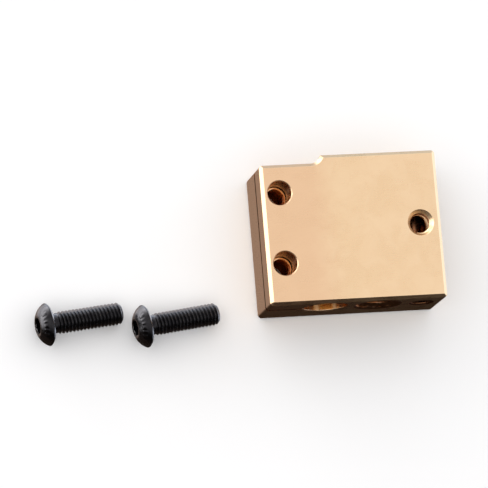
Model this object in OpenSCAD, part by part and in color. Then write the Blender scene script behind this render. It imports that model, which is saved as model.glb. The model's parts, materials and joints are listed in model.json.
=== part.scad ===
// Clamp-type heater block with its two clamp screws lying loose beside it.
// The block lies on its back face: +Z out of the face with the screw holes,
// +Y towards its raised top, X across it. The origin is the middle of the
// back face. All sizes are in millimetres.

/* [Block] */
// Width of the block across its three vertical bores
block_w = 24; // [22:0.5:28]
// Height of the block along its bores
block_h = 20; // [18:0.5:24]
// Thickness of the block from front face to back face
block_t = 10; // [9:0.25:12]
// Chamfer along every edge of the front, back, side and end faces
edge_chamfer = 0.45; // [0.3:0.05:0.6]
// Rounding of the four edges that run from front to back
corner_r = 0.5; // [0.3:0.1:1]

/* [Lowered land] */
// Width of the lowered land over the clamp, up to its fillet
land_w = 7; // [5:0.5:7]
// How far the land lies below the raised top
land_drop = 1.05; // [0.5:0.05:1.4]
// Radius of the fillet between land and raised top
land_fillet_r = 1.5; // [1.5:0.1:2]

/* [Bores] */
// Distance of the three bore axes and of the slit from the front face
bore_depth = 3.75; // [3.7:0.05:4.5]
// Distance of the heater bore from the clamp side
heater_x = 8.1; // [8:0.1:8.2]
// Diameter of the heater bore
heater_d = 6; // [5.8:0.1:6]
// Distance of the nozzle bore from the clamp side
nozzle_x = 15.2; // [15.1:0.1:15.4]
// Minor diameter of the nozzle's M6 thread
nozzle_d = 5; // [4.9:0.05:5.1]
// Diameter of the countersink at both ends of the nozzle bore
nozzle_mouth_d = 6.5; // [6.2:0.1:6.6]
// Distance of the thermistor bore from the clamp side
thermistor_x = 21.2; // [20.9:0.1:21.4]
// Diameter of the thermistor bore
thermistor_d = 3; // [2:0.1:3.1]
// Chamfer at the mouths of the heater and thermistor bores
mouth_chamfer = 0.2; // [0.1:0.05:0.3]

/* [Clamp] */
// Width of the slit that lets the clamp close on the heater
slit_gap = 0.5; // [0.3:0.1:0.8]
// Distance of the clamp screw axes from the clamp side
clamp_x = 2.45; // [2.3:0.05:2.6]
// Height of the lower clamp screw above the bottom face
clamp_low_y = 5.6; // [5:0.1:6]
// Distance between the two clamp screws
clamp_pitch = 9.5; // [8:0.1:10]
// Diameter of the clearance holes in the front leaf
clearance_d = 3.2; // [3.1:0.1:3.5]
// Minor diameter of every M3 thread
m3_minor_d = 2.5; // [2.4:0.05:2.6]

/* [Thermistor screw hole] */
// Height of the set screw hole above the bottom face
set_hole_y = 10.2; // [8:0.1:12]
// Diameter of its countersink at the front face
set_mouth_d = 3.6; // [3.2:0.1:4]

/* [Clamp screws] */
// Thread diameter of the clamp screws
screw_d = 3; // [3:0.1:3]
// Length of a screw under its head
screw_l = 10; // [8:1:12]
// Diameter of the button head
head_d = 5.7; // [5.5:0.1:6]
// Height of the button head
head_h = 1.65; // [1.5:0.05:1.8]
// Width across flats of the hexagon socket
socket_af = 2; // [1.8:0.1:2.1]
// Depth of the hexagon socket
socket_depth = 1.05; // [0.8:0.05:1.2]

/* [Hidden] */
$fn = 96;
eps = 0.5;                                  // how far a cutter runs past a face

block_left = -block_w / 2;
block_top = block_h / 2;
block_bottom = -block_h / 2;
land_y = block_top - land_drop;
land_end_x = block_left + land_w;
bore_z = block_t - bore_depth;
cut_chamfer = 0.12;                         // break at the clamp holes

rim_back = 0.25;                            // bevel under the head's rim
rim_land = 0.12;                            // straight rim of the head
crown_r = 1.35;                             // flat on top of the button head
dome_bulge = 0.19;                          // how far the dome swells past a plain cone
tip_chamfer = 0.4;
neck_l = 0.8;                               // plain neck under the head
neck_d = 2.6;

// A loose screw rests on its head's rim and on the edge of its tip.
rest_tilt = atan((head_d / 2 - screw_d / 2) / (screw_l - tip_chamfer + rim_back));
rest_height = head_d / 2 * cos(rest_tilt) - rim_back * sin(rest_tilt);
// Where each screw lies: x and y of its head, and the turn of its axis.
screw_places = [[-40.5, -9.7, 7], [-27.5, -10.6, 8]];

steel = [0.13, 0.13, 0.14];
plating = [0.86, 0.66, 0.46];

// Rectangle with rounded corners, drawn about its middle.
module rounded_plate(w, h, t, r) {
    linear_extrude(t) {
        square([w - 2 * r, h], center = true);
        square([w, h - 2 * r], center = true);
        for (sx = [-1, 1], sy = [-1, 1])
            translate([sx * (w / 2 - r), sy * (h / 2 - r)]) circle(r);
    }
}

// Long bar whose cross-section is a chamfered rectangle, w across and t high.
module chamfered_bar(w, t, c, l) {
    rotate([90, 0, 0])
        linear_extrude(l, center = true)
            polygon([[-w / 2 + c, 0], [w / 2 - c, 0], [w / 2, c], [w / 2, t - c],
                     [w / 2 - c, t], [-w / 2 + c, t], [-w / 2, t - c], [-w / 2, c]]);
}

// The block's outer body before any hole is cut.
module block_body() {
    over = 2 * eps;
    intersection() {
        rounded_plate(block_w, block_h, block_t, corner_r);
        chamfered_bar(block_w, block_t, edge_chamfer, block_h + over);
        rotate([0, 0, 90]) chamfered_bar(block_h, block_t, edge_chamfer, block_w + over);
    }
}

// Cutter for the lowered land: a floor, a fillet, and their chamfers at both faces.
module land_cutter() {
    slab_w = land_w + eps;
    slab_h = land_drop + eps;
    translate([land_end_x - slab_w, land_y, -eps]) cube([slab_w, slab_h, block_t + 2 * eps]);
    translate([land_end_x, land_y + land_fillet_r, -eps])
        cylinder(h = block_t + 2 * eps, r = land_fillet_r);
    for (side = [0, 1])
        translate([0, 0, side * block_t]) mirror([0, 0, side]) {
            translate([land_end_x - slab_w, land_y, 0])
                rotate([90, 0, 90])
                    linear_extrude(slab_w)
                        polygon([[0, -eps], [0, edge_chamfer], [-edge_chamfer - eps, -eps]]);
            translate([land_end_x, land_y + land_fillet_r, -eps])
                cylinder(h = edge_chamfer + eps, r1 = land_fillet_r + edge_chamfer + eps,
                         r2 = land_fillet_r);
        }
    // The corner where the land meets the clamp side is rounded like the others.
    translate([block_left, land_y, -eps])
        difference() {
            translate([-eps, -corner_r, 0]) cube([corner_r + eps, corner_r + eps, block_t + 2 * eps]);
            translate([corner_r, -corner_r, -eps]) cylinder(h = block_t + 4 * eps, r = corner_r);
        }
}

// Through bore along Y with a countersink at both ends.
module bore_along_y(x, d, mouth) {
    cone_h = (mouth - d) / 2;
    translate([block_left + x, 0, bore_z]) {
        rotate([90, 0, 0]) cylinder(h = block_h + 2 * eps, d = d, center = true);
        for (side = [0, 1])
            mirror([0, side, 0])
                translate([0, block_top - cone_h, 0])
                    rotate([-90, 0, 0])
                        cylinder(h = cone_h + eps, d1 = d, d2 = mouth + 2 * eps);
    }
}

// Countersink of a hole that opens on the front face.
module front_countersink(x, y, d, mouth) {
    cone_h = (mouth - d) / 2;
    translate([block_left + x, block_bottom + y, block_t - cone_h])
        cylinder(h = cone_h + eps, d1 = d, d2 = mouth + 2 * eps);
}

// One clamp screw's holes: clearance in the front leaf, thread in the rear one.
module clamp_hole(y) {
    translate([block_left + clamp_x, block_bottom + y, 0]) {
        translate([0, 0, bore_z]) cylinder(h = bore_depth + eps, d = clearance_d);
        translate([0, 0, -eps]) cylinder(h = bore_z + eps, d = m3_minor_d);
    }
    front_countersink(clamp_x, y, clearance_d, clearance_d + 2 * cut_chamfer);
}

// Tapped hole whose set screw would press on the thermistor.
module set_screw_hole() {
    translate([block_left + thermistor_x, block_bottom + set_hole_y, bore_z])
        cylinder(h = bore_depth + eps, d = m3_minor_d);
    front_countersink(thermistor_x, set_hole_y, m3_minor_d, set_mouth_d);
}

module heater_block() {
    color(plating)
        difference() {
            block_body();
            land_cutter();
            bore_along_y(heater_x, heater_d, heater_d + 2 * mouth_chamfer);
            bore_along_y(nozzle_x, nozzle_d, nozzle_mouth_d);
            bore_along_y(thermistor_x, thermistor_d, thermistor_d + 2 * mouth_chamfer);
            translate([block_left - eps, block_bottom - eps, bore_z - slit_gap / 2])
                cube([heater_x + eps, block_h + 2 * eps, slit_gap]);
            for (i = [0, 1])
                clamp_hole(clamp_low_y + i * clamp_pitch);
            set_screw_hole();
        }
}

// Button-head screw along +X, with the underside of its head at x = 0.
module button_head_screw() {
    rim_r = head_d / 2;
    rim_z = rim_back + rim_land;
    flank = norm([rim_r - crown_r, head_h - rim_z]);
    dome_steps = 12;
    dome = [for (i = [0:dome_steps])
        let (t = i / dome_steps, swell = dome_bulge * 4 * t * (1 - t) / flank)
        [rim_r + (crown_r - rim_r) * t + (head_h - rim_z) * swell,
         rim_z + (head_h - rim_z) * t + (rim_r - crown_r) * swell]];
    rotate([0, -90, 0])
        difference() {
            rotate_extrude()
                polygon(concat(
                    [[0, -screw_l], [screw_d / 2 - tip_chamfer, -screw_l],
                     [screw_d / 2, tip_chamfer - screw_l], [screw_d / 2, -neck_l],
                     [neck_d / 2, -neck_l], [neck_d / 2, 0],
                     [rim_r - rim_back, 0], [rim_r, rim_back]],
                    dome,
                    [[0, head_h]]));
            translate([0, 0, head_h - socket_depth])
                cylinder(h = socket_depth + eps, d = socket_af / cos(30), $fn = 6);
        }
}

module resting_screw(i) {
    color(steel)
        translate([screw_places[i][0], screw_places[i][1], rest_height])
            rotate([0, 0, screw_places[i][2]])
                rotate([0, rest_tilt, 0])
                    button_head_screw();
}

module clamp_screw_1() {
    resting_screw(0);
}

module clamp_screw_2() {
    resting_screw(1);
}

heater_block();
clamp_screw_1();
clamp_screw_2();
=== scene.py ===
import json
import math

import bmesh
import bpy
from mathutils import Matrix, Vector


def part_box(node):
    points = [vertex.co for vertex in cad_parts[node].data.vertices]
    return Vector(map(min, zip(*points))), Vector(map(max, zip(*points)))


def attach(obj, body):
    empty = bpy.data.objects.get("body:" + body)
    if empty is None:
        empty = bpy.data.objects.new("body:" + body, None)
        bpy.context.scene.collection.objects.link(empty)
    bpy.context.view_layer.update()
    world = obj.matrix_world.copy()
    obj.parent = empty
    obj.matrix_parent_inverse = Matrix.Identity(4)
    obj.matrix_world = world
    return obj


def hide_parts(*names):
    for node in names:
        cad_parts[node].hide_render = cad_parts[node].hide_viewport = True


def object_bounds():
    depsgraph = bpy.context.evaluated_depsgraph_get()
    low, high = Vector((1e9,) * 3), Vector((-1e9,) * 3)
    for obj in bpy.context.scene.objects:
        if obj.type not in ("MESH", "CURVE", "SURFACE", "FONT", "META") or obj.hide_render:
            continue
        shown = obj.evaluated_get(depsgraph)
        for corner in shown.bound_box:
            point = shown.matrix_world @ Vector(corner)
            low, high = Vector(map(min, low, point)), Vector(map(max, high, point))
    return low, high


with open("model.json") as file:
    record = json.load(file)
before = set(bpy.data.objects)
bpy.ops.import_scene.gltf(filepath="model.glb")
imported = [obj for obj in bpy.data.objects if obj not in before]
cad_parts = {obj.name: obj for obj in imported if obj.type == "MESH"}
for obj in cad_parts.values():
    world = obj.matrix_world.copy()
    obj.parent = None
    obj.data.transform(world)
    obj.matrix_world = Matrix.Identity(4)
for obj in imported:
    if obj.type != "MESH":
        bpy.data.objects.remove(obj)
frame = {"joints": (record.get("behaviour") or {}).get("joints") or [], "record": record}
cad_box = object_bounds()

# Looks of a clamp-type heater block and of the two clamp screws that lie beside it.
# Shapes are drawn in millimetres along the frame's axes, and stored in metres.
MM = 0.001

# ---------------------------------------------------------------- places and sizes
block_low, block_high = (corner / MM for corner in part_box("heater_block"))
MOUNTS = {mount["name"]: mount for mount in frame["record"]["mounts"]}
JOINTS = {joint["name"]: joint for joint in frame["joints"]}

# The block's outline and edges.
EDGE_CHAMFER = 0.45
CORNER_R = 0.5
LAND_W = 7.0
LAND_DROP = 1.05
LAND_FILLET_R = 1.5
EDGE_BREAK = 0.05           # width of the facets that soften each sharp edge

# The block's holes.
SLIT_GAP = 0.5
MOUTH_CHAMFER = 0.2         # at the heater and thermistor bores
NOZZLE_MOUTH_R = 3.25
SET_MOUTH_R = 1.8
CLAMP_BREAK = 0.12          # at the clamp holes
LEAD_IN_R = 1.53            # countersink at the start of each clamp thread
LEAD_IN_FOOT_R = 1.15
LEAD_IN_DEPTH = 0.10
LEAD_IN_OVER = 0.04
BORE_STEPS = 128
RUN_OUT = 1.0               # how far a cutter runs past the block
TAP_CLEAR = 0.02            # how far a thread's crests stand back from its drilled hole

# The screws.
HEAD_R = 2.85
HEAD_H = 1.65
RIM_BACK = 0.25
RIM_LAND = 0.12
CROWN_R = 1.35
DOME_BULGE = 0.19
SOCKET_AF = 2.0
SOCKET_CORNER_R = SOCKET_AF / 2 / math.cos(math.pi / 6)
SOCKET_DEPTH = 1.05
SOCKET_BREAK = 0.08         # how far the chamfer of the socket's mouth stands outside its corners
SCREW_L = 10.0
NECK_L = 0.8
NECK_R = 1.3
SCREW_STEPS = 144
DOME_ROWS = 30
PIN_R = 0.02                # radius of the tiny caps in the middle of tip and socket

# The row of raised bars on a head's dome, in degrees round the head.
MARK_FIRST = 35
MARK_SPACING = 14
MARK_COUNT = 7
MARK_WIDE, MARK_NARROW = 4.6, 2.4
MARK_MIDDLE, MARK_HALF = 0.45, 0.17     # along the dome, from 0 at its rim to 1 at its crown
MARK_RISE = 0.03            # outwards, and as much upwards

# The threads.
M3_PITCH = 0.5
M3_OUTER_R = 1.49
M3_ROOT_R = 1.19
M6_PITCH = 1.0
M6_OUTER_R = 3.02
THREAD_ROWS = 8             # rows of points in each turn
THREAD_RUN_IN = 0.6         # over which the shank's thread fades into the neck
TIP_CHAMFER = 0.4
TIP_R = M3_OUTER_R + 0.01 - TIP_CHAMFER
TIP_DISH = 0.06


def mount_point(name):
    return Vector(MOUNTS[name]["pos_m"]) / MM


def mount_size(name, key):
    return MOUNTS[name]["dims"][key]


# ---------------------------------------------------------------- mesh helpers
def new_object(name, verts, faces):
    """Mesh object in millimetres, with its doubled points merged and its faces turned outwards."""
    mesh = bpy.data.meshes.new(name)
    mesh.from_pydata([tuple(v) for v in verts], [], faces)
    clean_mesh(mesh)
    obj = bpy.data.objects.new(name, mesh)
    bpy.context.scene.collection.objects.link(obj)
    return obj


def clean_mesh(mesh, merge=1e-4):
    bm = bmesh.new()
    bm.from_mesh(mesh)
    bmesh.ops.remove_doubles(bm, verts=bm.verts, dist=merge)
    bmesh.ops.dissolve_degenerate(bm, edges=bm.edges, dist=merge)
    bmesh.ops.recalc_face_normals(bm, faces=bm.faces)
    bm.to_mesh(mesh)
    bm.free()


def bake_modifiers(obj):
    """Replaces the object's mesh by what its modifiers make of it."""
    graph = bpy.context.evaluated_depsgraph_get()
    graph.update()
    mesh = bpy.data.meshes.new_from_object(obj.evaluated_get(graph))
    obj.modifiers.clear()
    old = obj.data
    obj.data = mesh
    bpy.data.meshes.remove(old)


def carve(target, *cutters):
    """Cuts the volume of cutters that don't touch each other out of the target and drops them."""
    first = cutters[0]
    bm = bmesh.new()
    for cutter in cutters:
        bm.from_mesh(cutter.data)
    bm.to_mesh(first.data)
    bm.free()
    mod = target.modifiers.new("cut", "BOOLEAN")
    mod.operation = "DIFFERENCE"
    mod.solver = "EXACT"
    mod.object = first
    bake_modifiers(target)
    for cutter in cutters:
        bpy.data.objects.remove(cutter)


def place(points, base, axis):
    """Points drawn about Z, turned onto the axis and moved to its base."""
    turn = Vector((0, 0, 1)).rotation_difference(Vector(axis)).to_matrix()
    return [base + turn @ Vector(p) for p in points]


def ring(radius, height, steps):
    """Points about Z. Radius and height are numbers, or functions of the turn from 0 to 1."""
    points = []
    for i in range(steps):
        turn = i / steps
        angle = 2 * math.pi * turn
        r = radius(turn) if callable(radius) else radius
        z = height(turn) if callable(height) else height
        points.append((r * math.cos(angle), r * math.sin(angle), z))
    return points


def stitch(rings, close_ends=True):
    """Vertices and quads that join rings of equal length, with a flat cap at both ends."""
    n = len(rings[0])
    verts = [p for ring_points in rings for p in ring_points]
    faces = [
        (a * n + i, a * n + (i + 1) % n, (a + 1) * n + (i + 1) % n, (a + 1) * n + i)
        for a in range(len(rings) - 1)
        for i in range(n)
    ]
    if close_ends:
        faces.append(tuple(reversed(range(n))))
        faces.append(tuple(range((len(rings) - 1) * n, len(rings) * n)))
    return verts, faces


def lathe(name, profile, base, axis, steps=96):
    """Closed turned solid: profile of (radius, distance along axis) from base."""
    verts, faces = stitch([ring(r, z, steps) for r, z in profile])
    return new_object(name, place(verts, base, axis), faces)


# ---------------------------------------------------------------- threads
def thread_wave(phase):
    """Height of a 60 degree thread over one pitch, 0 at its root and 1 at its crest."""
    root_half, crest_half = 0.125, 0.0625
    rounding = 0.35
    from_root = 0.5 - abs(phase - 0.5)
    rise = (from_root - root_half) / (0.5 - root_half - crest_half)
    rise = min(max(rise, 0.0), 1.0)
    eased = rise * rise * (3 - 2 * rise)
    return eased * rounding + rise * (1 - rounding)


def thread_radius(radius_at, z, low, pitch, turn):
    """Radius at one height and turn of a threaded skin that starts at height low."""
    phase = ((z - low) / pitch - turn) % 1.0
    return radius_at(z, thread_wave(phase))


def thread_ring(radius_at, z, low, pitch, steps):
    """Level section through a threaded skin."""
    return ring(lambda turn: thread_radius(radius_at, z, low, pitch, turn), z, steps)


def thread_skin(radius_at, low, high, pitch, steps):
    """Rows of points that follow the helix between two heights, clamped flat at both ends."""
    turns = int(math.ceil((high - low) / pitch)) + 1
    count = THREAD_ROWS * turns
    verts = []
    for j in range(count + THREAD_ROWS + 1):
        for i in range(steps):
            turn = i / steps
            angle = 2 * math.pi * turn
            z = low + (j / THREAD_ROWS + turn - 1) * pitch
            z = min(max(z, low), high)
            r = thread_radius(radius_at, z, low, pitch, turn)
            verts.append((r * math.cos(angle), r * math.sin(angle), z))
    faces = []
    for j in range(count):
        for i in range(steps):
            # The last point of a row joins the first one of the row a turn further up.
            ahead = (j * steps + i + 1) if i + 1 < steps else (j + THREAD_ROWS) * steps
            faces.append((j * steps + i, ahead, ahead + steps, (j + 1) * steps + i))
    return verts, faces


def tap(name, base, axis, length, inner_r, outer_r, pitch, steps=72):
    """Solid that cuts a tapped hole: its skin is the thread that it leaves behind."""
    def radius_at(_z, wave):
        # The tap's crest makes the hole's root, so the wave is turned over.
        return inner_r + (outer_r - inner_r) * (1 - wave)

    verts, faces = thread_skin(radius_at, 0, length, pitch, steps)
    for z in (0, length):
        faces.append(tuple(range(len(verts), len(verts) + steps)))
        verts += thread_ring(radius_at, z, 0, pitch, steps)
    return new_object(name, place(verts, base, axis), faces)


# ---------------------------------------------------------------- block
def arc(cx, cy, r, start, end, steps=8):
    angles = [math.radians(start + (end - start) * i / steps) for i in range(steps + 1)]
    return [(cx + r * math.cos(a), cy + r * math.sin(a)) for a in angles]


def block_outline():
    """The block seen from the front, anticlockwise from its lower left corner."""
    x0, y0 = block_low.x, block_low.y
    x1, y1 = block_high.x, block_high.y
    land_y = y1 - LAND_DROP
    r = CORNER_R
    fillet_x = x0 + LAND_W
    rise_deg = math.degrees(math.acos((LAND_FILLET_R - LAND_DROP) / LAND_FILLET_R))
    fillet = arc(fillet_x, land_y + LAND_FILLET_R, LAND_FILLET_R, rise_deg - 90, -90, 10)
    return (
        arc(x0 + r, y0 + r, r, 180, 270)
        + arc(x1 - r, y0 + r, r, 270, 360)
        + arc(x1 - r, y1 - r, r, 0, 90)
        + fillet
        + arc(x0 + r, land_y - r, r, 90, 180)
    )


def inset(outline, by):
    """The outline moved inwards by an even distance, with mitred corners."""
    n = len(outline)
    sharpest_mitre = 0.3
    result = []
    for i, (x, y) in enumerate(outline):
        before, after = Vector(outline[i - 1]), Vector(outline[(i + 1) % n])
        here = Vector((x, y))
        d0, d1 = (here - before).normalized(), (after - here).normalized()
        n0, n1 = Vector((-d0.y, d0.x)), Vector((-d1.y, d1.x))
        mid = (n0 + n1).normalized()
        move = mid * (by / max(mid.dot(n0), sharpest_mitre))
        result.append((x + move.x, y + move.y))
    return result


def chamfer_section():
    """(inset, height over the face) from flat face to side wall, with both edges broken."""
    c = EDGE_CHAMFER
    flat, slope = 0.4 * EDGE_BREAK, 0.28 * EDGE_BREAK
    return [(c + flat, 0.0), (c - slope, -slope), (slope, slope - c), (0.0, -flat - c)]


def block_body():
    outline = block_outline()
    z0, z1 = block_low.z, block_high.z
    section = chamfer_section()
    rings = [[(x, y, z0 - dz) for x, y in inset(outline, d)] for d, dz in section]
    rings += [[(x, y, z1 + dz) for x, y in inset(outline, d)] for d, dz in reversed(section)]
    return new_object("heater_block_body", *stitch(rings))


def mouth_section(r, mouth_r):
    """(radius, height over the face) of a countersink's cutter, with both of its edges broken."""
    cone = mouth_r - r
    b = min(EDGE_BREAK, 0.2 * cone)
    return [(r, -cone - b), (r + 0.1 * b, -cone - 0.3 * b), (r + 0.5 * b, 0.5 * b - cone),
            (mouth_r - 0.5 * b, -0.5 * b), (mouth_r + RUN_OUT, 0.5 - 0.25 * b)]


def through_bore(name, at, r, mouth_r):
    """Cutter along Y for a bore with a countersink at both ends."""
    half = (block_high.y - block_low.y) / 2
    section = mouth_section(r, mouth_r)
    profile = [(radius, -half - dz) for radius, dz in reversed(section)]
    profile += [(radius, half + dz) for radius, dz in section]
    return lathe(name, profile, Vector((at.x, 0, at.z)), (0, 1, 0), BORE_STEPS)


def front_hole(name, x, y, r, mouth_r, bottom_z):
    """Cutter from the front face down to bottom_z, with a countersink."""
    top = block_high.z
    profile = [(r, bottom_z)] + [(radius, top + dz) for radius, dz in mouth_section(r, mouth_r)]
    return lathe(name, profile, Vector((x, y, 0)), (0, 0, 1))


def slit_cutter(name, z, end_x):
    """Cutter for the slit that lets the clamp close, from the left side to the heater bore."""
    x0 = block_low.x - RUN_OUT
    y0, y1 = block_low.y - RUN_OUT, block_high.y + RUN_OUT
    z0, z1 = z - SLIT_GAP / 2, z + SLIT_GAP / 2
    rings = [[(x0, y, z0), (end_x, y, z0), (end_x, y, z1), (x0, y, z1)] for y in (y0, y1)]
    return new_object(name, *stitch(rings))


def lead_in(name, x, y, top_z):
    """Cutter for the shallow countersink at the start of a clamp thread."""
    profile = [(LEAD_IN_FOOT_R, top_z - LEAD_IN_DEPTH), (LEAD_IN_R, top_z + LEAD_IN_OVER)]
    return lathe(name, profile, Vector((x, y, 0)), (0, 0, 1))


def clamp_axes():
    centre = mount_point("clamp_screw_holes")
    half = mount_size("clamp_screw_holes", "spacing_y_mm") / 2
    return [(centre.x, centre.y - half), (centre.x, centre.y + half)]


def make_block():
    """The block: its bores, its slit, its front holes and its threads are cut in turn."""
    block = block_body()
    heater, nozzle = mount_point("heater_bore"), mount_point("nozzle_thread")
    set_hole, probe = mount_point("thermistor_screw_hole"), mount_point("thermistor_bore")
    heater_r = mount_size("heater_bore", "r_mm")
    nozzle_r = mount_size("nozzle_thread", "r_mm")
    probe_r = mount_size("thermistor_bore", "r_mm")
    tapped_r = mount_size("thermistor_screw_hole", "r_mm")
    clear_r = mount_size("clamp_screw_holes", "hole_r_mm")
    slit_z = heater.z

    carve(
        block,
        through_bore("heater_cutter", heater, heater_r, heater_r + MOUTH_CHAMFER),
        through_bore("nozzle_cutter", nozzle, nozzle_r, NOZZLE_MOUTH_R),
        through_bore("probe_cutter", probe, probe_r, probe_r + MOUTH_CHAMFER),
    )
    carve(block, slit_cutter("slit_cutter", slit_z, heater.x))
    carve(
        block,
        front_hole("set_cutter", set_hole.x, set_hole.y, tapped_r, SET_MOUTH_R, probe.z),
        *[front_hole("clamp_cutter", x, y, clear_r, clear_r + CLAMP_BREAK, slit_z)
          for x, y in clamp_axes()],
    )
    m3_crest_r, m6_crest_r = tapped_r + TAP_CLEAR, nozzle_r + TAP_CLEAR
    carve(
        block,
        tap("set_tap", Vector((set_hole.x, set_hole.y, probe.z)), (0, 0, 1),
            block_high.z - probe.z + RUN_OUT, m3_crest_r, M3_OUTER_R, M3_PITCH),
        tap("nozzle_tap", Vector((nozzle.x, block_low.y - RUN_OUT, nozzle.z)), (0, 1, 0),
            block_high.y - block_low.y + 2 * RUN_OUT, m6_crest_r, M6_OUTER_R, M6_PITCH, steps=96),
        *[tap("clamp_tap", Vector((x, y, -RUN_OUT)), (0, 0, 1),
              slit_z + RUN_OUT, m3_crest_r, M3_OUTER_R, M3_PITCH)
          for x, y in clamp_axes()],
    )
    carve(block, *[lead_in("lead_in", x, y, slit_z - SLIT_GAP / 2) for x, y in clamp_axes()])
    block.name = "heater_block_plated"
    return block


# ---------------------------------------------------------------- screws
def dome_point(t):
    """Point (radius, height over the underside) on the head's dome, t from rim to crown."""
    rim_z = RIM_BACK + RIM_LAND
    inwards, upwards = HEAD_R - CROWN_R, HEAD_H - rim_z
    swell = DOME_BULGE * 4 * t * (1 - t) / math.hypot(inwards, upwards)
    return HEAD_R - inwards * t + upwards * swell, rim_z + upwards * t + inwards * swell


def hex_radius(turn):
    """Distance of the hexagon socket's wall from the screw's axis."""
    sixth = math.pi / 3
    sector = (2 * math.pi * turn + sixth / 2) % sixth - sixth / 2
    return SOCKET_AF / 2 / math.cos(sector)


def raised_mark(turn, t):
    """How far the dome stands out at a point: a plain row of wide and narrow bars."""
    from_first = 360 * turn - MARK_FIRST
    k = round(from_first / MARK_SPACING)
    if k < 0 or k >= MARK_COUNT:
        return 0.0
    across = abs(from_first - k * MARK_SPACING) / (MARK_WIDE if k % 3 == 0 else MARK_NARROW)
    along = abs(t - MARK_MIDDLE) / MARK_HALF
    # Full height up to 0.8 of a bar's half size, and back on the dome at 1.3 of it.
    return MARK_RISE * min(max((1.3 - max(across, along)) / 0.5, 0.0), 1.0)


def shank_radius(z, wave):
    """Radius of the shank: its thread starts at the neck and is cut back round the tip."""
    deep = min(max((-NECK_L - z) / THREAD_RUN_IN, 0.0), 1.0)
    root = NECK_R + (M3_ROOT_R - NECK_R) * deep
    crest = NECK_R + (M3_OUTER_R - NECK_R) * deep
    return min(root + (crest - root) * wave, TIP_R + (z + SCREW_L))


def head_rings():
    """Rings from the neck round the head's rim and over its dome."""
    under = [(NECK_R, -NECK_L), (NECK_R, -0.2), (NECK_R + 0.03, -0.09), (NECK_R + 0.09, -0.02),
             (NECK_R + 0.18, 0.0), (HEAD_R - RIM_BACK - 0.05, 0.0), (HEAD_R - RIM_BACK, 0.02)]
    rim = [(HEAD_R - 0.04, RIM_BACK - 0.03), (HEAD_R, RIM_BACK + 0.02),
           (HEAD_R, RIM_BACK + RIM_LAND - 0.02)]
    rings = [ring(r, z, SCREW_STEPS) for r, z in under + rim]
    for row in range(1, DOME_ROWS + 1):
        t = row / DOME_ROWS
        r, z = dome_point(t)
        rings.append(ring(lambda turn: r + raised_mark(turn, t),
                          lambda turn: z + raised_mark(turn, t), SCREW_STEPS))
    return rings


def socket_rings():
    """Rings from the socket's chamfered mouth down its six walls to its drilled bottom."""
    mouth_r = SOCKET_CORNER_R + SOCKET_BREAK
    mouth_slope = 0.55
    floor_z = HEAD_H - SOCKET_DEPTH
    shapes = [
        (mouth_r, HEAD_H),
        (hex_radius, lambda turn: HEAD_H - (mouth_r - hex_radius(turn)) * mouth_slope),
        (hex_radius, HEAD_H - 0.25),
        (hex_radius, HEAD_H - 0.6),
        (hex_radius, floor_z + 0.05),
        (SOCKET_AF / 2 * 0.97, floor_z),
        (PIN_R, floor_z - 0.3),
    ]
    return [ring(radius, height, SCREW_STEPS) for radius, height in shapes]


def make_screw(name):
    """Button-head screw about Z: tip at the bottom, underside of the head at height 0."""
    n, low = SCREW_STEPS, -SCREW_L
    # A shallow dish in the tip, and the flat land round it.
    tip = [ring(PIN_R, low + TIP_DISH, n), ring(TIP_R - 0.25, low + TIP_DISH, n),
           ring(TIP_R - 0.06, low, n)]
    start = thread_ring(shank_radius, low, low, M3_PITCH, n)
    parts = [
        stitch(tip + [start], close_ends=False),
        thread_skin(shank_radius, low, -NECK_L, M3_PITCH, n),
        stitch(head_rings() + socket_rings(), close_ends=False),
    ]
    verts, faces = [], []
    for part_verts, part_faces in parts:
        base = len(verts)
        verts += part_verts
        faces += [tuple(base + i for i in face) for face in part_faces]
    # Caps in the middle of the tip and of the socket's bottom.
    faces.append(tuple(range(n)))
    faces.append(tuple(range(len(verts) - n, len(verts))))
    return new_object(name, verts, faces)


def lay_screw(obj, joint):
    """Turns the screw's own axis onto its joint's axis and moves its head to the joint's place."""
    along = Vector(joint["axis"])
    at = Vector(joint["pos_m"]) / MM
    # Local -Z runs from head to tip. Local +X is kept as level as the axis allows.
    z_axis = -along
    x_axis = Vector((0, 0, 1)).cross(z_axis).normalized()
    y_axis = z_axis.cross(x_axis)
    turn = Matrix((x_axis, y_axis, z_axis)).transposed()
    for v in obj.data.vertices:
        v.co = at + turn @ v.co


# ---------------------------------------------------------------- materials
def rgb(r, g, b):
    return (r, g, b, 1.0)


# Reflectance of the metals. The two colours of a pair are mixed by a cloudy noise.
GOLD = rgb(0.92, 0.66, 0.40), rgb(0.95, 0.70, 0.44)
GOLD_FLECKS = rgb(0.90, 0.62, 0.38)
GOLD_BY_CLAMP = rgb(0.87, 0.575, 0.355)
GOLD_STREAKS = rgb(0.70, 0.53, 0.37)
BORED_WALL = rgb(0.42, 0.19, 0.08), rgb(0.54, 0.26, 0.12)
# Painted light in the heater bore: a brighter orange band and highlight streaks on its back wall.
BORED_PAINTED_LIGHT = rgb(0.84, 0.33, 0.06)
BORED_PAINTED_HIGHLIGHTS = rgb(1.0, 0.64, 0.32)
DRILLED_WALL = rgb(0.66, 0.33, 0.12), rgb(0.78, 0.46, 0.22)
# Painted shade: darker plating on the nozzle's thread.
TAPPED_SHADED_WALL = rgb(0.46, 0.26, 0.14), rgb(0.62, 0.38, 0.23)
# Painted shade: much darker plating in the deep threads and the thermistor's bore.
SHADED_WALL = rgb(0.30, 0.13, 0.06), rgb(0.42, 0.19, 0.09)
OXIDE = rgb(0.018, 0.017, 0.019), rgb(0.034, 0.033, 0.035)
OXIDE_SHEEN = rgb(0.27, 0.265, 0.278)
# Paler oxide at the socket's mouth: wear, and a painted highlight on its rim.
OXIDE_WEAR_AND_GLINT = rgb(0.10, 0.10, 0.105), rgb(0.30, 0.295, 0.30)
FLOOR_WHITE = rgb(0.95, 0.95, 0.95)

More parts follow.
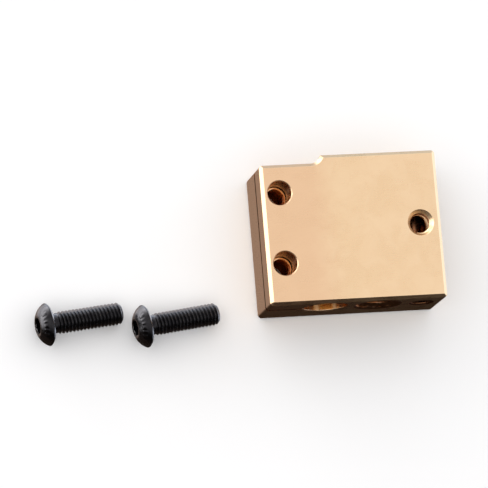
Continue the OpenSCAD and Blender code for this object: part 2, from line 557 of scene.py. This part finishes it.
# Distance between tool marks in the heater bore and in the drilled holes.
BORE_MARKS = 0.12
DRILL_MARKS = 0.33

X, Y, Z = (1, 0, 0), (0, 1, 0), (0, 0, 1)


def node_tree(name):
    mat = bpy.data.materials.new(name)
    mat.use_nodes = True
    tree = mat.node_tree
    tree.nodes.clear()
    return mat, tree


class Graph:
    """Short calls for adding and joining shader nodes."""

    def __init__(self, tree):
        self.tree = tree

    def add(self, kind, **settings):
        node = self.tree.nodes.new(kind)
        for key, value in settings.items():
            setattr(node, key, value)
        return node

    def link(self, source, target):
        self.tree.links.new(source, target)

    def put(self, socket, value):
        if hasattr(value, "is_linked"):
            self.link(value, socket)
        else:
            socket.default_value = value

    def math(self, op, a, b=0.0):
        node = self.add("ShaderNodeMath", operation=op)
        self.put(node.inputs[0], a)
        self.put(node.inputs[1], b)
        return node.outputs[0]

    def span(self, value, low, high, to_low=0.0, to_high=1.0, smooth=True):
        """Maps a value's run from low to high onto another run, and clamps it there."""
        node = self.add("ShaderNodeMapRange")
        node.interpolation_type = "SMOOTHSTEP" if smooth else "LINEAR"
        self.put(node.inputs["Value"], value)
        self.put(node.inputs["From Min"], low)
        self.put(node.inputs["From Max"], high)
        self.put(node.inputs["To Min"], to_low)
        self.put(node.inputs["To Max"], to_high)
        return node.outputs[0]

    def dot(self, vector, axis):
        node = self.add("ShaderNodeVectorMath", operation="DOT_PRODUCT")
        self.put(node.inputs[0], vector)
        node.inputs[1].default_value = axis
        return node.outputs["Value"]

    def noise(self, vector, scale, detail=3.0, rough=0.5, distortion=0.0):
        node = self.add("ShaderNodeTexNoise")
        self.put(node.inputs["Vector"], vector)
        self.put(node.inputs["Scale"], scale)
        self.put(node.inputs["Detail"], detail)
        self.put(node.inputs["Roughness"], rough)
        self.put(node.inputs["Distortion"], distortion)
        return node.outputs[0]

    def stretch(self, vector, scale):
        node = self.add("ShaderNodeVectorMath", operation="MULTIPLY")
        self.put(node.inputs[0], vector)
        node.inputs[1].default_value = scale
        return node.outputs[0]

    def mix(self, factor, a, b):
        node = self.add("ShaderNodeMix", data_type="RGBA")
        self.put(node.inputs["Factor"], factor)
        self.put(node.inputs[6], a)
        self.put(node.inputs[7], b)
        return node.outputs[2]

    def clouded(self, noise, pair, low=0.3, high=0.7):
        """Mixes a pair of colours by a noise."""
        return self.mix(self.span(noise, low, high), *pair)

    def graded(self, noise, to_low, to_high):
        """Number that follows a noise evenly between two values."""
        return self.span(noise, 0.3, 0.7, to_low, to_high, smooth=False)

    def ripples(self, position, axis, spacing):
        """Even waves along an axis, like the marks that a turning tool leaves."""
        return self.math("SINE", self.math("MULTIPLY", self.dot(position, axis),
                                           2 * math.pi / spacing))


def metal(name, build):
    """Metal whose build(graph, position in mm) gives colour, roughness, bump height and strength."""
    mat, tree = node_tree(name)
    g = Graph(tree)
    coords = g.add("ShaderNodeTexCoord")
    position = g.stretch(coords.outputs["Object"], (1 / MM,) * 3)
    colour, roughness, height, strength = build(g, position)
    bump = g.add("ShaderNodeBump")
    bump.inputs["Strength"].default_value = strength
    bump.inputs["Distance"].default_value = 0.01 * MM
    g.put(bump.inputs["Height"], height)
    shader = g.add("ShaderNodeBsdfPrincipled")
    shader.inputs["Metallic"].default_value = 1.0
    g.put(shader.inputs["Base Color"], colour)
    g.put(shader.inputs["Roughness"], roughness)
    g.link(bump.outputs[0], shader.inputs["Normal"])
    out = g.add("ShaderNodeOutputMaterial")
    g.link(shader.outputs[0], out.inputs["Surface"])
    return mat


def plated_skin(g, position):
    """Copper-gold plating: cloudy tone, pinker over the clamp, streaky sides, faint milling lines."""
    cloud = g.noise(position, 0.28, detail=4, rough=0.55, distortion=0.6)
    fine = g.noise(position, 2.2, detail=4, rough=0.6)
    colour = g.clouded(cloud, GOLD)
    colour = g.mix(g.span(fine, 0.45, 0.8, 0.0, 0.25), colour, GOLD_FLECKS)
    across = g.math("ADD", g.dot(position, X), g.math("MULTIPLY", cloud, 3.0))
    clamp_side = g.span(across, -4.5, 0.5, 0.75, 0.0)
    colour = g.mix(clamp_side, colour, GOLD_BY_CLAMP)
    # Long streaks on the left and right faces only.
    streaks = g.span(g.noise(g.stretch(position, (0.0, 0.22, 3.4)), 1.0, detail=4, rough=0.6),
                     0.36, 0.64)
    off_middle = g.math("ABSOLUTE", g.dot(position, X))
    side = g.span(off_middle, block_high.x - 0.1, block_high.x)
    colour = g.mix(g.math("MULTIPLY", g.math("MULTIPLY", streaks, side), 0.5), colour,
                   GOLD_STREAKS)
    lines = g.noise(g.stretch(position, (0.35, 9.0, 9.0)), 1.0, detail=4, rough=0.65)
    roughness = g.math("ADD", g.graded(lines, 0.25, 0.33), g.graded(cloud, -0.02, 0.03))
    height = g.math("ADD", g.math("MULTIPLY", lines, 0.5), g.math("MULTIPLY", fine, 0.5))
    return colour, roughness, height, 0.10


def bored_skin(g, position):
    """Reamed copper in the heater bore with tool rings; on its back wall a brighter orange band of
    painted light and two rougher streaks of painted highlight.
    """
    uneven = g.noise(g.stretch(position, (0.6, 9.0, 0.6)), 1.0, rough=0.6)
    height = g.math("ADD", g.math("MULTIPLY", g.ripples(position, Y, BORE_MARKS), 0.3), uneven)
    cloud = g.noise(position, 0.9)
    bore = mount_point("heater_bore")
    around = g.math("ARCTAN2", g.math("SUBTRACT", g.dot(position, Z), bore.z),
                    g.math("SUBTRACT", g.dot(position, X), bore.x))

    def near(angle_deg, full, none):
        """1 within full degrees of an angle round the bore, falling to 0 at none degrees."""
        off = g.math("ABSOLUTE", g.math("SUBTRACT", around, math.radians(angle_deg)))
        return g.span(off, math.radians(full), math.radians(none), 1.0, 0.0)

    # Two streaks of painted highlight at set angles round the back wall, also rougher; between them a
    # brighter orange band of painted light.
    painted_highlight = g.math("MAXIMUM", near(-102, 0, 12), near(-54, 0, 10))
    colour = g.mix(near(-79, 26, 44), g.clouded(cloud, BORED_WALL), BORED_PAINTED_LIGHT)
    colour = g.mix(painted_highlight, colour, BORED_PAINTED_HIGHLIGHTS)
    roughness = g.math("ADD", g.graded(uneven, 0.14, 0.22), g.math("MULTIPLY", painted_highlight, 0.45))
    return colour, roughness, height, 1.0


def drilled_skin(g, position):
    """Copper-brown walls of the clamp holes and the slit, with rings left by the drill."""
    cloud = g.noise(position, 1.1)
    scratches = g.noise(g.stretch(position, (1.0, 1.0, 9.0)), 1.0, rough=0.6)
    height = g.math("ADD", g.math("MULTIPLY", g.ripples(position, Z, DRILL_MARKS), 0.5), scratches)
    return g.clouded(cloud, DRILLED_WALL), g.graded(scratches, 0.12, 0.20), height, 1.0


def tapped_skin(g, position):
    """Plating on the nozzle's thread, darkened as painted shade."""
    cloud = g.noise(position, 1.6)
    return g.clouded(cloud, TAPPED_SHADED_WALL), g.span(cloud, 0.3, 0.7, 0.12, 0.22), cloud, 0.2


def shaded_skin(g, position):
    """Plating darkened as painted shade in the clamp threads, the set screw's thread and the
    thermistor's bore.
    """
    cloud = g.noise(position, 1.6)
    return g.clouded(cloud, SHADED_WALL), g.span(cloud, 0.3, 0.7, 0.14, 0.26), cloud, 0.2


def black_oxide(g, position):
    """Black oxide on steel: near black face on, with a grey sheen where it turns away."""
    cloud = g.noise(position, 0.9, detail=4, rough=0.6)
    grain = g.noise(position, 9.0, detail=4, rough=0.65)
    turned = g.add("ShaderNodeLayerWeight").outputs["Facing"]
    colour = g.mix(g.span(turned, 0.12, 0.62), g.clouded(cloud, OXIDE, 0.35, 0.75), OXIDE_SHEEN)
    return colour, g.graded(grain, 0.20, 0.34), grain, 0.4


def worn_oxide(g, position):
    """Paler black oxide at the mouth of the socket: rubbed so that bare steel shows through, and a
    painted highlight on its rim.
    """
    cloud = g.noise(position, 3.0, rough=0.6)
    return g.clouded(cloud, OXIDE_WEAR_AND_GLINT), 0.24, cloud, 0.3


# ---------------------------------------------------------------- finish of the pieces
BLOCK_SKINS = [
    ("plated_metal", plated_skin),
    ("bored_metal", bored_skin),
    ("drilled_metal", drilled_skin),
    ("tapped_metal", tapped_skin),
    # Plating darkened as painted shade for the deep threads and the thermistor's bore.
    ("stained_metal", shaded_skin),
]
PLATED, BORED, DRILLED, TAPPED, SHADED = range(5)

SCREW_SKINS = [("black_oxide", black_oxide), ("worn_oxide", worn_oxide)]
# The second screw material is paler at the socket's mouth: wear, and a painted highlight.
BLACK, WEAR_AND_GLINT = range(2)
WEAR_AND_GLINT_DEPTH, WEAR_AND_GLINT_MARGIN = 0.14, 0.1


def smooth_by_planes(mesh, limit_deg):
    """Smooth shading in which large flat faces stay flat and narrow facets bend between them."""
    limit = math.cos(math.radians(limit_deg))
    places = 3
    # Faces that share a plane, to this many places, count as one large face.
    planes, key_of = {}, []
    for face in mesh.polygons:
        offset = face.center.dot(face.normal)
        key = tuple(round(c, places) for c in (*face.normal, offset))
        planes[key] = planes.get(key, 0.0) + face.area
        key_of.append(key)
    around = [[] for _ in mesh.vertices]
    for face in mesh.polygons:
        entry = (face.normal.copy(), planes[key_of[face.index]] ** 2)
        for v in face.vertices:
            around[v].append(entry)
    normals = [None] * len(mesh.loops)
    for face in mesh.polygons:
        own = face.normal
        for loop, v in zip(face.loop_indices, face.vertices):
            total = Vector((0, 0, 0))
            for normal, weight in around[v]:
                if own.dot(normal) > limit:
                    total += normal * weight
            normals[loop] = total.normalized() if total.length > 0 else own
    mesh.shade_smooth()
    mesh.normals_split_custom_set(normals)


def finish_mesh(obj, materials, choose, sharp_deg=30):
    """Gives each face its material, smooths the shading and scales the piece to metres."""
    for mat in materials:
        obj.data.materials.append(mat)
    for face in obj.data.polygons:
        face.material_index = choose(face.center)
    smooth_by_planes(obj.data, sharp_deg)
    obj.data.transform(Matrix.Scale(MM, 4))


def block_zone(centre):
    """Which material a face of the block takes, from where its middle lies."""
    margin, touch = 0.03, 0.001
    heater, probe = mount_point("heater_bore"), mount_point("thermistor_bore")
    nozzle, set_hole = mount_point("nozzle_thread"), mount_point("thermistor_screw_hole")

    def within(at, r):
        return math.hypot(centre.x - at.x, centre.z - at.z) < r + margin

    from_end = min(centre.y - block_low.y, block_high.y - centre.y)
    if from_end > MOUTH_CHAMFER + margin and within(heater, mount_size("heater_bore", "r_mm")):
        return BORED
    probe_mouth_r = mount_size("thermistor_bore", "r_mm") + MOUTH_CHAMFER
    # The thermistor's bore takes the plating darkened as painted shade.
    if from_end > EDGE_BREAK and within(probe, probe_mouth_r):
        return SHADED
    # The nozzle's thread takes plating darkened as painted shade.
    if from_end > EDGE_BREAK and within(nozzle, NOZZLE_MOUTH_R):
        return TAPPED
    clear_r = mount_size("clamp_screw_holes", "hole_r_mm")
    hole_top = block_high.z - CLAMP_BREAK - margin
    thread_top = heater.z - SLIT_GAP / 2
    lead_in_low = thread_top - LEAD_IN_DEPTH - TAP_CLEAR
    for x, y in clamp_axes():
        off_axis = math.hypot(centre.x - x, centre.y - y)
        if off_axis < LEAD_IN_R and lead_in_low < centre.z < thread_top - touch:
            return PLATED
        if off_axis < clear_r + margin and margin < centre.z < hole_top:
            # Below the slit the clamp thread takes the plating darkened as painted shade.
            return DRILLED if centre.z > heater.z else SHADED
    off_slit = abs(centre.z - heater.z)
    if off_slit < SLIT_GAP / 2 + margin and block_low.x + margin < centre.x < heater.x:
        return DRILLED
    off_axis = math.hypot(centre.x - set_hole.x, centre.y - set_hole.y)
    cone_start = block_high.z - (SET_MOUTH_R - M3_OUTER_R)
    # The set screw's thread takes the plating darkened as painted shade.
    if off_axis < M3_OUTER_R + margin and set_hole.z < centre.z < cone_start - M3_PITCH / 2:
        return SHADED
    return PLATED


def screw_zone(joint):
    """Which material a face of the laid screw takes: paler round the socket's mouth, for wear and a
    painted highlight.
    """
    at, along = Vector(joint["pos_m"]) / MM, Vector(joint["axis"])

    def choose(centre):
        height = (at - centre).dot(along)
        off_axis = (centre - at + along * height).length
        # Paler band at the socket's mouth: wear, and a painted highlight on its rim.
        wear_and_glint = height > HEAD_H - WEAR_AND_GLINT_DEPTH and off_axis < SOCKET_CORNER_R + WEAR_AND_GLINT_MARGIN
        return WEAR_AND_GLINT if wear_and_glint else BLACK

    return choose


# ---------------------------------------------------------------- stage
FLOOR_HALF = 0.6            # metres
FLOOR_GAP = 0.00002         # below the pieces, in metres

# Soft light by direction: the middle of each patch, the cosines of the angle from it at which
# the patch starts and is full, and its colour. A negative colour dims the patch it lies on.
# Patches below the horizon are seen in the metal only, as the floor isn't mirrored.
PATCHES = [
    ((-0.05, 0.18, 1.0), 0.26, 0.65, (1.3, 1.3, 1.3)),          # ceiling
    ((0.21, 0.18, 0.96), 0.80, 0.97, (-0.42, -0.43, -0.42)),    # dimmer middle of the ceiling
    ((-0.98, 0.17, 0.02), 0.88, 0.97, (2.7, 2.7, 2.7)),         # bright patch on the left
    ((-0.75, 0.64, 0.05), 0.85, 0.96, (1.4, 1.4, 1.4)),         # its weaker neighbour
    ((-0.38, 0.89, 0.10), 0.93, 0.99, (2.2, 2.2, 2.25)),        # small patch for the fillet
    ((0.96, 0.18, -0.15), 0.70, 0.92, (1.21, 1.33, 1.51)),      # cool light on the right
    ((0.16, 0.97, -0.15), 0.70, 0.92, (0.60, 0.69, 0.81)),      # cool light behind the top end
    ((-0.35, 0.3, -0.9), 0.9, 0.99, (0.36, 0.28, 0.24)),        # warm, for the left face
    ((0.45, 0.55, -0.70), 0.84, 0.96, (0.80, 0.80, 0.83)),      # low fill at the rear, right
    ((-0.55, 0.68, -0.48), 0.84, 0.96, (0.80, 0.80, 0.83)),     # low fill at the rear, left
]
DIM_ROOM = (0.026, 0.0165, 0.012)

# Long lens, nearly square to the front face, from its lower left. Lengths in metres.
TOWARDS_CAMERA = (-0.1899, -0.1781, 0.9655)
CAMERA_DISTANCE = 0.597
CAMERA_ROLL_DEG = -4.84
AIM_OFF_MIDDLE = (0.00124, 0.00111, 0.0)
LENS_MM = 331
SENSOR_MM = 36


def make_floor(centre):
    """Plain pale floor just below the pieces."""
    x0, x1 = centre.x - FLOOR_HALF, centre.x + FLOOR_HALF
    y0, y1 = centre.y - FLOOR_HALF, centre.y + FLOOR_HALF
    corners = [(x, y, -FLOOR_GAP) for x, y in ((x0, y0), (x1, y0), (x1, y1), (x0, y1))]
    mesh = bpy.data.meshes.new("floor")
    mesh.from_pydata(corners, [], [(0, 1, 2, 3)])
    floor = bpy.data.objects.new("floor", mesh)
    bpy.context.scene.collection.objects.link(floor)
    mat, tree = node_tree("pale_floor")
    g = Graph(tree)
    diffuse = g.add("ShaderNodeBsdfDiffuse")
    diffuse.inputs["Color"].default_value = FLOOR_WHITE
    out = g.add("ShaderNodeOutputMaterial")
    g.link(diffuse.outputs[0], out.inputs["Surface"])
    floor.data.materials.append(mat)
    floor.visible_glossy = False


def make_studio():
    """World light: the dim warm room, plus every patch of soft light."""
    world = bpy.data.worlds.new("studio")
    bpy.context.scene.world = world
    world.use_nodes = True
    tree = world.node_tree
    tree.nodes.clear()
    g = Graph(tree)
    way = g.add("ShaderNodeTexCoord").outputs["Generated"]
    total = DIM_ROOM
    for direction, start, full, colour in PATCHES:
        patch = g.add("ShaderNodeVectorMath", operation="SCALE")
        patch.inputs[0].default_value = colour
        towards = g.dot(way, Vector(direction).normalized())
        g.link(g.span(towards, start, full), patch.inputs["Scale"])
        both = g.add("ShaderNodeVectorMath", operation="ADD")
        g.put(both.inputs[0], total)
        g.link(patch.outputs[0], both.inputs[1])
        total = both.outputs[0]
    back = g.add("ShaderNodeBackground")
    g.link(total, back.inputs["Color"])
    out = g.add("ShaderNodeOutputWorld")
    g.link(back.outputs[0], out.inputs["Surface"])


def make_camera(middle):
    """Camera that looks at a point beside the middle of the model, rolled a little."""
    aim = middle + Vector(AIM_OFF_MIDDLE)
    towards = Vector(TOWARDS_CAMERA).normalized()
    roll = math.radians(CAMERA_ROLL_DEG)
    level = Vector((0, 1, 0)).cross(towards).normalized()
    upright = towards.cross(level)
    right = math.cos(roll) * level + math.sin(roll) * upright
    up = math.cos(roll) * upright - math.sin(roll) * level
    data = bpy.data.cameras.new("camera")
    data.sensor_width = SENSOR_MM
    data.lens = LENS_MM
    data.clip_start = 0.01
    camera = bpy.data.objects.new("camera", data)
    pose = Matrix((right, up, towards)).transposed().to_4x4()
    pose.translation = aim + towards * CAMERA_DISTANCE
    camera.matrix_world = pose
    bpy.context.scene.collection.objects.link(camera)
    bpy.context.scene.camera = camera


def main():
    bpy.context.scene.view_settings.view_transform = "Standard"
    middle = (Vector(cad_box[0]) + Vector(cad_box[1])) / 2
    make_camera(middle)
    make_floor(middle)
    make_studio()

    block_metals = [metal(name, build) for name, build in BLOCK_SKINS]
    screw_metals = [metal(name, build) for name, build in SCREW_SKINS]

    block = make_block()
    finish_mesh(block, block_metals, block_zone)
    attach(block, "block")
    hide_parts("heater_block")

    for number in (1, 2):
        screw = make_screw(f"button_screw_{number}")
        joint = JOINTS[f"clamp_screw_{number}_turn"]
        lay_screw(screw, joint)
        finish_mesh(screw, screw_metals, screw_zone(joint), sharp_deg=40)
        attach(screw, f"screw_{number}")
        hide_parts(f"clamp_screw_{number}")


main()
